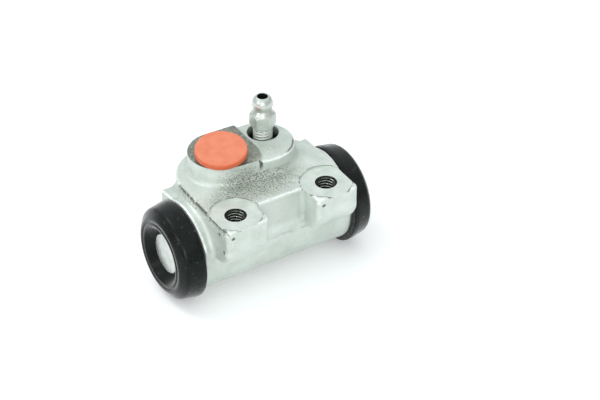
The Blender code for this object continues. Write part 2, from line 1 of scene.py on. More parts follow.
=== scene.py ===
# Wheel cylinder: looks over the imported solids. Shapes are worked out in millimetres round the
# middle of the bore: x along the bore, y from the screw holes towards the bore, z up.

import json
import math

import bpy
import numpy as np
from mathutils import Matrix, Vector

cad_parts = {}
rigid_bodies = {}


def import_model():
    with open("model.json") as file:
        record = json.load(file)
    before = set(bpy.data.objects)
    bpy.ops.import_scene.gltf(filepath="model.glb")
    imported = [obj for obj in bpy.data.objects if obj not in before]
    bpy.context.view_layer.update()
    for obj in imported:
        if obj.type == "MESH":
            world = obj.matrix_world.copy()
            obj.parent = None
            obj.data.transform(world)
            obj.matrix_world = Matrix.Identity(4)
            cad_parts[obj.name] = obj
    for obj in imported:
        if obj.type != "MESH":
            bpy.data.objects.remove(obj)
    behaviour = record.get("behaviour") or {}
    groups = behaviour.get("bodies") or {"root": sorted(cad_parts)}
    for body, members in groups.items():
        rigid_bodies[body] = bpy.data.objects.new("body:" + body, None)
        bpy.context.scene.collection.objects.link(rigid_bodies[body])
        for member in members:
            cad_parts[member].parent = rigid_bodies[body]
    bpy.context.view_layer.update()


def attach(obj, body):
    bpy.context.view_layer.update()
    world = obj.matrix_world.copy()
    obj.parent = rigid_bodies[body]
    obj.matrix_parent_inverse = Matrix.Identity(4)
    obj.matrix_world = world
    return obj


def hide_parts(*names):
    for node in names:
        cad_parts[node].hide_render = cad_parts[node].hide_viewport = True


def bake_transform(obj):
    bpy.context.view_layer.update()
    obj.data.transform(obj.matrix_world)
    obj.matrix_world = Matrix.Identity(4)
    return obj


MM = 0.001
BORE_PLACE = np.array((0.0, 14.3, -17.025))

# Barrel, its spigots with the boots' grooves (start, end, radius), and the collar over its top,
# which rises from a shoulder at the back
BORE = 9.525
BARREL = 13.225
BARREL_HALF = 25.3
BARREL_EDGE = 0.5
SPIGOT = 12.425
SPIGOT_END = 29.0
SPIGOT_EDGE = 0.4
GROOVE = (26.2, 27.8, 11.625)
GROOVE_EDGE = 0.15
GROOVE_CORNER = 0.2
COLLAR = 15.025
COLLAR_START = math.radians(66)
COLLAR_FADE = math.radians(152)
COLLAR_FRONT = math.radians(177)
COLLAR_FILLET = 0.6
SHOULDER_BACK = 12.425
SHOULDER_TOP = 13.425
SHOULDER_FOOT = 4.23

# Flange, pads and web, with circles as (x, y, radius) and lumps as (x, y, z, radius)
FACE = 17.025
CAST_TOP = 17.425
FLANGE_HALF = 22.3
FLANGE_RIGHT = (13.3, 1.4, 9.0)
FLANGE_MIDDLE = (6.0, 7.0, 12.1)
FLANGE_LEFT = (-6.4, 4.6, 15.9)
PAD_FRONT = -21.6
PAD_INNER = 8.2
PAD_LOW = 8.525
PAD_ROUND = 1.6
LEFT_PAD_DROP = 1.3
PAD_CORNER = 2.0
WEB_FRONT = -13.625
WEB_ROUND = 1.3
WEB_RISE = 5.2
WEB_EDGE = 0.8
PLAN_EDGE = 0.5
CORNER_LUMPS = (
    (-21.4, -20.4, 15.7, 1.15), (-21.4, -20.2, 8.6, 1.3), (9.2, -20.6, 15.7, 1.0),
)
LUMP_FILLET = 0.5
OVERHANG = 6.0
OVERHANG_EDGE = 0.8
BODY_FILLET = 1.5

# Boss, its raised port face and the ports. STEP is the face's straight edge, the y where its
# round begins, and that round's radius.
BOSS_TOP = 22.625
BOSS_EDGE = 0.45
PORT_FACE = 23.525
FACE_SPARE = 0.5
BLEED_END = (6.0, 7.0, 10.1)
PORT_END = (-7.4, 8.1, 9.7)
FLARE_WIDTH = 1.4
FLARE_HEIGHT = 2.0
STEP = (2.9, 4.0, 7.4)
STEP_EDGE = 0.1
STEP_FILLET = 0.25
NOTCH = (0.5, -2.3, 0.5)
NOTCH_FOOT = 20.0
NOTCH_EDGE = 0.2
PORT = (-8.7, 5.9)
PORT_RADIUS = 4.6
PORT_BOTTOM = 11.525
PORT_PASSAGE = 1.3
BLEED = (9.0, 10.8)
RECESS_RADIUS = 4.75
RECESS_MOUTH = 5.15
BLEED_FLOOR = 17.625
BLEED_RADIUS = 3.25
BLEED_BOTTOM = 11.125
PASSAGE_TILT = math.radians(22)
PASSAGE_RADIUS = 1.0
PASSAGE_LENGTH = 12.0

# Screw holes, with the mouth as (radius, height over the face), and their spot faces' radius.
# The bleed screw has the same pitch.
HOLE_X = 15.5
HOLE_Y = -14.3
HOLE_DEPTH = 11.0
HOLE_MINOR = 2.5
HOLE_MAJOR = 3.05
HOLE_MOUTH = ((3.6, 0.3), (3.3, 0.0), (3.08, -0.3))
HOLE_POINT = 1.6
THREAD_PITCH = 1.0
SPOT = 7.8
CUT_TOP = 24.0

# The cast skin's unevenness, as (height, size, seed) of each noise, and its mesh's step and
# spare room
CAST_GRAIN = ((0.05, 2.6, 1), (0.035, 1.1, 2))
NET_STEP = 0.42
NET_MARGIN = 1.1

# Bleed screw, with HEX_HALF as half its width across flats
HEX_LOW = 25.525
HEX_HIGH = 29.925
HEX_TURN = math.radians(-118)
HEX_HALF = 3.5
HEX_CHAMFER = 0.75
NIPPLE_TOP = 35.525
NIPPLE_BORE = 1.5
BALL = 3.22
BALL_DROP = 2.56
BALL_START = math.radians(52.7)
BALL_END = math.radians(-38)
NECK_FOOT = 3.1
SCREW_MINOR = 2.62
SCREW_MAJOR = 2.98
TIP_END = 11.725
TIP_LENGTH = 3.5

# Port plug, with its profile as (radius, height, rounding)
PLUG_RADIUS = 7.95
PLUG_MIDDLE = (-8.5, 5.6)
PLUG_LIFT = 0.1
PLUG_LEAN = math.radians(7.3)
PLUG_LEAN_TURN = math.radians(-31)
PLUG_PROFILE = (
    (0.02, 1.80, 0), (6.4, 1.82, 2.0), (7.1, 1.9, 0.6), (PLUG_RADIUS, 1.75, 0.5),
    (PLUG_RADIUS, 0.0, 0.4), (3.8, 0.0, 0.3), (3.8, -5.5, 0.5), (0.02, -5.5, 0),
)

# Boots, pistons and cups: corners of their profiles as (radius, distance, rounding), and where
# the boots' stretch starts and ends
BOOT_START = 25.6
BOOT_PROFILE = (
    (5.6, 29.9, 0.15), (6.9, 29.9, 0.5), (9.15, 33.2, 0.35), (9.8, 33.3, 0.2),
    (10.25, 33.0, 0.25), (11.3, 33.45, 1.5), (14.2, 31.6, 2.0), (15.02, 27.0, 3.0),
    (15.02, BOOT_START, 0.4), (12.7, BOOT_START, 0.2), (12.7, 26.5, 0.1), (11.95, 26.5, 0.1),
    (11.95, 27.5, 0.1), (12.7, 27.5, 0.1), (12.7, 29.2, 0.3), (13.0, 30.4, 1.2),
    (11.1, 31.9, 0.8), (9.9, 31.4, 0.8), (7.2, 28.8, 0.3), (5.6, 28.8, 0.15),
)
PISTON_PROFILE = (
    (0.02, 30.9, 0), (0.5, 31.2, 0.1), (6.2, 31.2, 0.3), (6.2, 30.2, 0.15), (5.3, 30.2, 0.1),
    (5.3, 28.5, 0.1), (6.2, 28.5, 0.15), (6.2, 27.0, 0.2), (9.325, 27.0, 0.4),
    (9.325, 13.9, 0.4), (0.02, 13.9, 0),
)
CUP_PROFILE = (
    (0.02, 13.6, 0), (9.05, 13.6, 0.3), (9.3, 9.3, 0.3), (8.4, 9.3, 0.3), (7.4, 11.4, 0.6),
    (0.02, 11.4, 0),
)

# Half of the spring: its turns, wire and coil radius, reach, the pitch of its closed turn, and
# where its stretch ends
SPRING_TURNS = 3.5
SPRING_WIRE = 0.45
SPRING_COIL = 5.5
SPRING_REACH = 10.65
SPRING_CLOSED = 0.99

# Colours. A pair holds the two ends that a colour wanders between.
ZINC = (0.548, 0.618, 0.562), (0.664, 0.725, 0.674)
# Worn bright edges, which also carry a painted highlight where they face up, and a painted
# highlight on the boss's left wall
ZINC_WORN_AND_LIT = (0.88, 0.91, 0.88)
ZINC_ROUGH = (0.46, 0.50, 0.40)
# Dark of real pits and seams, also used for painted shade in corners, hollows and lines
DIRT_AND_SHADE = (0.12, 0.13, 0.10)
# The bleed recess darkens towards its floor as painted shade
RECESS_SHADE = (0.036, 0.046, 0.036), (0.40, 0.46, 0.40)
IRON = (0.20, 0.215, 0.18), (0.29, 0.305, 0.26)
IRON_FILM = (0.42, 0.44, 0.38)
HOLLOW = (0.004, 0.004, 0.004), (0.010, 0.010, 0.009)
# Thread roots darkened as painted shade, crests rubbed bright
THREAD_SHADED_ROOTS = (0.022, 0.025, 0.021), (0.42, 0.44, 0.40)
RUBBER = (0.0020, 0.0034, 0.0028), (0.0050, 0.0075, 0.0065)
DUST = (0.09, 0.105, 0.10)
PISTON = (0.54, 0.58, 0.54), (0.66, 0.69, 0.66)
SPRING = (0.45, 0.45, 0.44), (0.6, 0.6, 0.58)
SCREW = (0.50, 0.55, 0.50), (0.61, 0.65, 0.61)
ORANGE = (0.67, 0.185, 0.09), (0.75, 0.24, 0.125)
# Deeper orange round the plug's rim is painted shade
ORANGE_RIM_SHADE = (0.60, 0.125, 0.045)
FLOOR_WHITE = (0.86, 0.87, 0.87)
SKY_WHITE = (0.95, 0.98, 1.0)

# Pits at the pads' corners, as places and their reach
CORNER_PITS = (
    (-20.6, -21.7, 15.0), (-22.4, -19.2, 9.2), (10.2, -21.7, 15.0), (-22.4, -16.5, 14.2),
)
PIT_REACH = (0.75, 0.75, 0.6)


def to_row(points):
    """Points round the bore's middle, in millimetres, as points of the row frame in metres."""
    return (np.asarray(points, float) + BORE_PLACE) * MM


def filleted(corners, steps=6, closed=False):
    """A line through (u, v, radius) corners, each corner replaced by an arc of its radius."""
    found = []
    count = len(corners)
    for i, (u, v, radius) in enumerate(corners):
        here = np.array((u, v), float)
        if radius <= 0 or (not closed and i in (0, count - 1)):
            found.append(here)
            continue
        before = np.array(corners[i - 1][:2], float) - here
        after = np.array(corners[(i + 1) % count][:2], float) - here
        before /= np.linalg.norm(before)
        after /= np.linalg.norm(after)
        half = math.acos(max(-1.0, min(1.0, float(before @ after)))) / 2
        middle = before + after
        middle /= np.linalg.norm(middle)
        center = here + middle * radius / math.sin(half)
        start = here + before * radius / math.tan(half) - center
        end = here + after * radius / math.tan(half) - center
        first = math.atan2(start[1], start[0])
        sweep = (math.atan2(end[1], end[0]) - first + math.pi) % math.tau - math.pi
        for t in np.linspace(0.0, 1.0, steps + 1):
            angle = first + sweep * t
            found.append(center + radius * np.array((math.cos(angle), math.sin(angle))))
    return np.array(found)


def around_bore(profile, sides, side=1):
    """Grid of points: a (radius, distance) profile turned round the bore's axis, with distance
    towards side."""
    turn = np.arange(sides) * math.tau / sides
    radius, along = profile[:, :1], profile[:, 1:]
    parts = along * side, radius * np.cos(turn), radius * np.sin(turn)
    return np.stack(np.broadcast_arrays(*parts), axis=-1)


def upright(profile, sides, center, shape=None):
    """Grid of points: a (radius, height) profile turned round an upright axis. shape changes the
    radius."""
    turn = np.arange(sides) * math.tau / sides
    radius = np.broadcast_to(profile[:, :1], (len(profile), sides))
    height = np.broadcast_to(profile[:, 1:], (len(profile), sides))
    if shape is not None:
        radius = shape(radius, height, turn)
    x, y = center[0] + radius * np.cos(turn), center[1] + radius * np.sin(turn)
    return np.stack((x, y, height), axis=-1)


def shell(grid, ring=False):
    """Vertices and faces of a grid that closes round its columns, with a pole at each end or, in
    a ring, rows that meet."""
    rows, columns = grid.shape[:2]
    points = grid.reshape(-1, 3)
    index = np.arange(rows * columns).reshape(rows, columns)
    beside = np.roll(index, -1, axis=1)
    below = np.roll(index, -1, axis=0)
    corner = np.roll(below, -1, axis=1)
    last = rows if ring else rows - 1
    quads = np.stack((index, beside, corner, below), axis=-1)[:last].reshape(-1, 4)
    faces = quads.tolist()
    if not ring:
        points = np.vstack((points, grid[0].mean(0), grid[-1].mean(0)))
        top, bottom = rows * columns, rows * columns + 1
        faces += np.stack((beside[0], index[0], np.full(columns, top)), axis=-1).tolist()
        faces += np.stack((index[-1], beside[-1], np.full(columns, bottom)), axis=-1).tolist()
    return points, faces


def outward(points, faces):
    """The same faces, all turned round if the volume that they enclose is negative."""
    corners = np.array([face[:3] for face in faces])
    a, b, c = (points[corners[:, k]] for k in range(3))
    d = points[np.array([face[-1] for face in faces])]
    volume = np.einsum("ij,ij->i", a, np.cross(b, c)) + np.einsum("ij,ij->i", a, np.cross(c, d))
    return [face[::-1] for face in faces] if volume.sum() < 0 else faces


def placed(name, data):
    """A new object in the scene that carries a mesh, a lamp or a camera."""
    obj = bpy.data.objects.new(name, data)
    bpy.context.scene.collection.objects.link(obj)
    return obj


def piece(name, points, faces, material, sharp=35.0):
    """A mesh object whose place is in its mesh, smooth, with edges sharp from an angle up."""
    mesh = bpy.data.meshes.new(name)
    mesh.from_pydata(to_row(points).tolist(), [], outward(points, faces))
    mesh.materials.append(material)
    mesh.shade_smooth()
    mesh.set_sharp_from_angle(angle=math.radians(sharp))
    return placed(name, mesh)


def dress(obj, node):
    """The piece stands for a CAD node, which is hidden."""
    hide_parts(node)
    return obj


def smooth(values, low, high):
    """0 up to low, 1 from high on, and an even S between."""
    t = np.clip((values - low) / (high - low), 0.0, 1.0)
    return t * t * (3 - 2 * t)


def polygon_distance(u, v, corners):
    """Distance from (u, v) to a closed outline, negative inside it."""
    nearest, sign = np.inf, 1.0
    for (au, av), (bu, bv) in zip(corners, np.roll(corners, -1, axis=0)):
        eu, ev, wu, wv = bu - au, bv - av, u - au, v - av
        t = np.clip((wu * eu + wv * ev) / (eu * eu + ev * ev), 0.0, 1.0)
        nearest = np.minimum(nearest, (wu - eu * t) ** 2 + (wv - ev * t) ** 2)
        above, under, left = wv >= 0, v < bv, eu * wv > ev * wu
        sign = np.where((above & under & left) | ~(above | under | left), -sign, sign)
    return sign * np.sqrt(nearest)


def hull_distance(x, y, first, second):
    """Distance to the outline of two (x, y, radius) circles and their common tangents."""
    dx, dy = second[0] - first[0], second[1] - first[1]
    length = math.hypot(dx, dy)
    along = ((x - first[0]) * dx + (y - first[1]) * dy) / length
    across = np.abs((y - first[1]) * dx - (x - first[0]) * dy) / length
    lean = (first[2] - second[2]) / length
    rise = math.sqrt(1 - lean * lean)
    k = along * rise - across * lean
    near = np.hypot(across, along) - first[2]
    far = np.hypot(across, along - length) - second[2]
    between = across * rise + along * lean - first[2]
    return np.where(k < 0, near, np.where(k > rise * length, far, between))


def joined(a, b, fillet):
    """Union of two fields with a round fillet in the corner between them."""
    corner = np.hypot(np.maximum(fillet - a, 0), np.maximum(fillet - b, 0))
    return np.maximum(fillet, np.minimum(a, b)) - corner


def trimmed(a, b, edge):
    """The part that is inside both fields, its outer edge rounded."""
    corner = np.hypot(np.maximum(edge + a, 0), np.maximum(edge + b, 0))
    return np.minimum(-edge, np.maximum(a, b)) + corner


def tangent_angle(first, second):
    """Outward angle of the line that touches two (x, y, radius) circles, counter-clockwise."""
    dx, dy = second[0] - first[0], second[1] - first[1]
    lean = math.acos((first[2] - second[2]) / math.hypot(dx, dy))
    return (math.atan2(dy, dx) - lean) % math.tau


def circle_arc(circle, start, end, count):
    """Points of an (x, y, radius) circle from one angle to another."""
    turn = np.linspace(start, end, count)
    x, y = circle[0] + circle[2] * np.cos(turn), circle[1] + circle[2] * np.sin(turn)
    return np.stack((x, y), axis=-1)


TO_MIDDLE = tangent_angle(FLANGE_RIGHT, FLANGE_MIDDLE)
TO_LEFT = tangent_angle(FLANGE_MIDDLE, FLANGE_LEFT)
FLANGE_PLAN = np.vstack((
    filleted([
        (-FLANGE_HALF, FLANGE_LEFT[1], 0), (-FLANGE_HALF, PAD_FRONT, PAD_ROUND),
        (-PAD_INNER, PAD_FRONT, PAD_ROUND), (-PAD_INNER, WEB_FRONT, WEB_ROUND),
        (PAD_INNER, WEB_FRONT, WEB_ROUND), (PAD_INNER, PAD_FRONT, PAD_ROUND),
        (FLANGE_HALF, PAD_FRONT, PAD_ROUND), (FLANGE_HALF, FLANGE_RIGHT[1], 0),
    ], 5)[1:-1],
    circle_arc(FLANGE_RIGHT, 0.0, TO_MIDDLE, 8),
    circle_arc(FLANGE_MIDDLE, TO_MIDDLE, TO_LEFT, 12),
    circle_arc(FLANGE_LEFT, TO_LEFT, math.pi, 18),
))

# The collar's section: its shoulder, its round, and an even ease into the barrel at the front
EASE = np.linspace(0.0, 1.0, 12)[1:, None]
EASE_TURN = COLLAR_FADE + (COLLAR_FRONT - COLLAR_FADE) * EASE
COLLAR_SECTION = np.vstack((
    [(SHOULDER_BACK, SHOULDER_FOOT), (SHOULDER_BACK, SHOULDER_TOP)],
    circle_arc((0.0, 0.0, COLLAR), COLLAR_START, COLLAR_FADE, 20),
    (COLLAR - (COLLAR - BARREL + 0.2) * EASE ** 2 * (3 - 2 * EASE))
    * np.hstack((np.cos(EASE_TURN), np.sin(EASE_TURN))),
    [(-BORE, 0.0), (0.0, 0.0)],
))


def boss_field(x, y, z):
    """The boss on its flare, negative inside: two ends and their tangents, a notch in the front,
    and a top with the raised port face."""
    boss = hull_distance(x, y, BLEED_END, PORT_END)
    notch = np.hypot(x - NOTCH[0], y - NOTCH[1]) - NOTCH[2]
    boss = -joined(-boss, notch + np.maximum(NOTCH_FOOT - z, 0.0) * 0.5, NOTCH_EDGE)
    flange = (z - CAST_TOP) * (FLARE_WIDTH / FLARE_HEIGHT)
    right, front = np.maximum(x - STEP[0] + STEP[2], 0.0), np.minimum(y - STEP[1], 0.0)
    step = np.where(y > STEP[1], x - STEP[0], np.hypot(right, front) - STEP[2])
    raised = trimmed(step, z - PORT_FACE - FACE_SPARE, STEP_EDGE)
    top = joined(z - BOSS_TOP, raised, STEP_FILLET)
    return trimmed(joined(boss, flange, FLARE_WIDTH), top, BOSS_EDGE)


def casting_field(x, y, z):
    """The casting before machining, negative inside: the boss cut to the flange's plan with its
    pads and web, lumps at its corners, joined to the barrel and collar with a fillet."""
    barrel = np.hypot(y, z) - BARREL
    section = joined(barrel, polygon_distance(y, z, COLLAR_SECTION), COLLAR_FILLET)
    plan = polygon_distance(x, y, FLANGE_PLAN)
    pad_low = PAD_LOW - LEFT_PAD_DROP * np.clip(0.5 - x / 12, 0.0, 1.0)
    height = z + y - PAD_FRONT - pad_low
    web = trimmed(plan, (WEB_RISE - height) * math.sqrt(0.5), WEB_EDGE)
    pads = np.maximum(plan, PAD_INNER - np.abs(x))
    pads = trimmed(pads, -height * math.sqrt(0.5), PAD_CORNER)
    upper = trimmed(boss_field(x, y, z), np.minimum(web, pads), PLAN_EDGE)
    for lump_x, lump_y, lump_z, radius in CORNER_LUMPS:
        lump = np.sqrt((x - lump_x) ** 2 + (y - lump_y) ** 2 + (z - lump_z) ** 2) - radius
        upper = joined(upper, lump, LUMP_FILLET)
    upper = trimmed(upper, (y - z - OVERHANG) * math.sqrt(0.5), OVERHANG_EDGE)
    upper = np.maximum(upper, SHOULDER_FOOT - z)
    body = joined(upper, section, BODY_FILLET)
    return trimmed(body, np.abs(x) - BARREL_HALF, BARREL_EDGE)


def surface_net(field, low, high, step):
    """Vertices and quads where the field is zero: one vertex a grid cell that the surface
    crosses, at the mean of its edges' crossings, and one quad a crossed grid edge."""
    axes = [np.arange(a, b + step, step) for a, b in zip(low, high)]
    x, y, z = np.meshgrid(*axes, indexing="ij", sparse=True)
    value = field(x, y, z).astype(np.float32)
    inside = value < 0
    cells = tuple(n - 1 for n in value.shape)
    total, crossings = np.zeros(cells + (3,), np.float32), np.zeros(cells, np.float32)
    for axis in range(3):
        for p in (0, 1):
            for q in (0, 1):
                start = np.zeros(3, int)
                start[(axis + 1) % 3], start[(axis + 2) % 3] = p, q
                end = start.copy()
                end[axis] = 1
                a = value[tuple(slice(s, s + n) for s, n in zip(start, cells))]
                b = value[tuple(slice(s, s + n) for s, n in zip(end, cells))]
                crossed = (a < 0) != (b < 0)
                share = np.where(crossed, a / np.where(crossed, a - b, 1.0), 0.0)
                for k in range(3):
                    total[..., k] += np.where(crossed, share if k == axis else start[k], 0.0)
                crossings += crossed
    used = crossings > 0
    number = np.full(cells, -1)
    number[used] = np.arange(used.sum())
    corner = np.stack(np.nonzero(used), axis=-1)
    points = (corner + total[used] / crossings[used][:, None]) * step + np.array(low)
    quads = []
    for axis in range(3):
        one, two = (axis + 1) % 3, (axis + 2) % 3
        a = np.take(inside, np.arange(value.shape[axis] - 1), axis)
        b = np.take(inside, np.arange(1, value.shape[axis]), axis)
        edge = np.stack(np.nonzero(a != b), axis=-1)
        edge = edge[(edge[:, one] > 0) & (edge[:, one] < cells[one])
                    & (edge[:, two] > 0) & (edge[:, two] < cells[two])]
        leaving = a[tuple(edge.T)]
        around = []
        for p, q in ((1, 1), (0, 1), (0, 0), (1, 0)):
            cell = edge.copy()
            cell[:, one] -= p
            cell[:, two] -= q
            around.append(number[tuple(cell.T)])
        quad = np.stack(around, axis=-1)
        quads.append(np.where(leaving[:, None], quad, quad[:, ::-1]))
    return points, np.vstack(quads)


def field_normal(field, points, reach=0.02):
    """The field's slope at each point, from differences along the three axes."""
    slope = []
    for axis in range(3):
        move = np.zeros(3)
        move[axis] = reach
        slope.append((field(*(points + move).T) - field(*(points - move).T)) / (2 * reach))
    return np.stack(slope, axis=-1)


def settled(field, points, times=3, most=0.4):
    """Points moved down the field's slope on to its zero surface, by at most so much a time."""
    for _ in range(times):
        slope = field_normal(field, points)
        way = field(*points.T) / np.maximum((slope ** 2).sum(1), 0.05)
        points = points - np.clip(way, -most, most)[:, None] * slope
    return points


def lattice_noise(points, size, seed):
    """Smooth noise from -1 to 1: random values on a lattice of that size, blended between its
    corners."""
    table = np.random.default_rng(seed).uniform(-1.0, 1.0, (64, 64, 64))
    place = points / size
    low = np.floor(place).astype(int)
    t = place - low
    t = t * t * (3 - 2 * t)
    found = 0.0
    for corner in range(8):
        bit = np.array((corner & 1, corner >> 1 & 1, corner >> 2 & 1))
        weight = np.prod(np.where(bit, t, 1 - t), axis=1)
        found = found + weight * table[tuple(((low + bit) % 64).T)]
    return found


class Nodes:
    """Small helper that adds and links the nodes of one material."""

    def __init__(self, name, metallic=0.0):
        self.material = bpy.data.materials.new(name)
        self.material.use_nodes = True
        self.tree = self.material.node_tree
        self.shader = self.tree.nodes["Principled BSDF"]
        self.shader.inputs["Metallic"].default_value = metallic
        self.place = self.add("ShaderNodeTexCoord").outputs["Object"]

    def add(self, kind, **settings):
        """A new node with these settings."""
        node = self.tree.nodes.new(kind)
        for key, value in settings.items():
            setattr(node, key, value)
        return node

    def link(self, source, target):
        """Joins an output to an input."""
        self.tree.links.new(source, target)

    def noise(self, per_mm, detail=2.0, roughness=0.5):
        """Noise with this many features a millimetre."""
        node = self.add("ShaderNodeTexNoise")
        node.inputs["Scale"].default_value = per_mm / MM
        node.inputs["Detail"].default_value = detail
        node.inputs["Roughness"].default_value = roughness
        self.link(self.place, node.inputs["Vector"])
        return node.outputs["Fac"]

    def ramp(self, source, low, high, start=0.0, end=1.0):
        """source from low to high, mapped to start to end and held there."""
        node = self.add("ShaderNodeMapRange", clamp=True)
        self.link(source, node.inputs["Value"])
        limits = (("From Min", low), ("From Max", high), ("To Min", start), ("To Max", end))
        for key, value in limits:
            node.inputs[key].default_value = value
        return node.outputs["Result"]

    def math(self, operation, a, b):
        """One operation on two values, which are numbers or other nodes' outputs."""
        node = self.add("ShaderNodeMath", operation=operation)
        for socket, value in zip(node.inputs, (a, b)):
            if isinstance(value, (int, float)):
                socket.default_value = value
            else:
                self.link(value, socket)
        return node.outputs["Value"]

    def mix(self, share, first, second):
        """A colour between two colours, which are triples or other nodes' outputs."""
        node = self.add("ShaderNodeMix", data_type="RGBA")
        self.link(share, node.inputs["Factor"])
        for socket, value in ((node.inputs[6], first), (node.inputs[7], second)):
            if isinstance(value, tuple):
                socket.default_value = (*value, 1.0)
            else:
                self.link(value, socket)
        return node.outputs[2]

    def zone(self, center, reach, inner, outer):
        """1 inside an ellipsoid round a place in millimetres, fading to 0 between two shares of
        its reach."""
        moved = self.add("ShaderNodeVectorMath", operation="SUBTRACT")
        self.link(self.place, moved.inputs[0])
        moved.inputs[1].default_value = tuple(to_row(center))
        shrunk = self.add("ShaderNodeVectorMath", operation="DIVIDE")
        self.link(moved.outputs[0], shrunk.inputs[0])
        shrunk.inputs[1].default_value = tuple(r * MM for r in reach)
        length = self.add("ShaderNodeVectorMath", operation="LENGTH")
        self.link(shrunk.outputs[0], length.inputs[0])
        return self.ramp(length.outputs["Value"], inner, outer, 1.0, 0.0)

    def axes(self):
        """The place's x, y and z in millimetres round the bore's middle."""
        moved = self.add("ShaderNodeMapping", vector_type="POINT")
        moved.inputs["Location"].default_value = tuple(-BORE_PLACE)
        moved.inputs["Scale"].default_value = (1 / MM,) * 3
        self.link(self.place, moved.inputs["Vector"])
        split = self.add("ShaderNodeSeparateXYZ")
        self.link(moved.outputs["Vector"], split.inputs[0])
        return split.outputs

    def reach_from(self, x, y, center, held=False):
        """Distance in plan from a point. Where held is true, y counts only beyond the point."""
        across = self.math("SUBTRACT", x, center[0])
        along = self.math("SUBTRACT", y, center[1])
        if held:
            along = self.math("MAXIMUM", along, 0.0)
        squares = self.math("ADD", self.product(across, across), self.product(along, along))
        return self.math("POWER", squares, 0.5)

    def band(self, source, middle, half, soft):
        """1 where source lies within half of middle, fading to 0 over a soft width beyond."""
        off = self.math("ABSOLUTE", self.math("SUBTRACT", source, middle), 0.0)
        return self.ramp(off, half, half + soft, 1.0, 0.0)

    def product(self, *factors):
        """The factors multiplied together."""
        found = factors[0]
        for factor in factors[1:]:
            found = self.math("MULTIPLY", found, factor)
        return found

    def most(self, *values):
        """The highest of the values."""
        found = values[0]
        for value in values[1:]:
            found = self.math("MAXIMUM", found, value)
        return found

    def mask(self, name):
        """A value that the mesh carries at each vertex."""
        return self.add("ShaderNodeAttribute", attribute_name=name).outputs["Fac"]

    def color(self, source):
        """The shader's colour comes from this output."""
        self.link(source, self.shader.inputs["Base Color"])

    def mottled(self, per_mm, low, high):
        """A colour that wanders between two, in patches."""
        return self.mix(self.ramp(self.noise(per_mm, 3.0), 0.35, 0.65), low, high)

    def roughness(self, per_mm, detail, low, high):
        """Roughness that wanders between two values."""
        wander = self.ramp(self.noise(per_mm, detail), 0.3, 0.7, low, high)
        self.link(wander, self.shader.inputs["Roughness"])

    def bump(self, height, distance, strength=1.0):
        """Bump of this many millimetres."""
        node = self.add("ShaderNodeBump")
        node.inputs["Distance"].default_value = distance * MM
        if isinstance(strength, (int, float)):
            node.inputs["Strength"].default_value = strength
        else:
            self.link(strength, node.inputs["Strength"])
        self.link(height, node.inputs["Height"])
        self.link(node.outputs["Normal"], self.shader.inputs["Normal"])


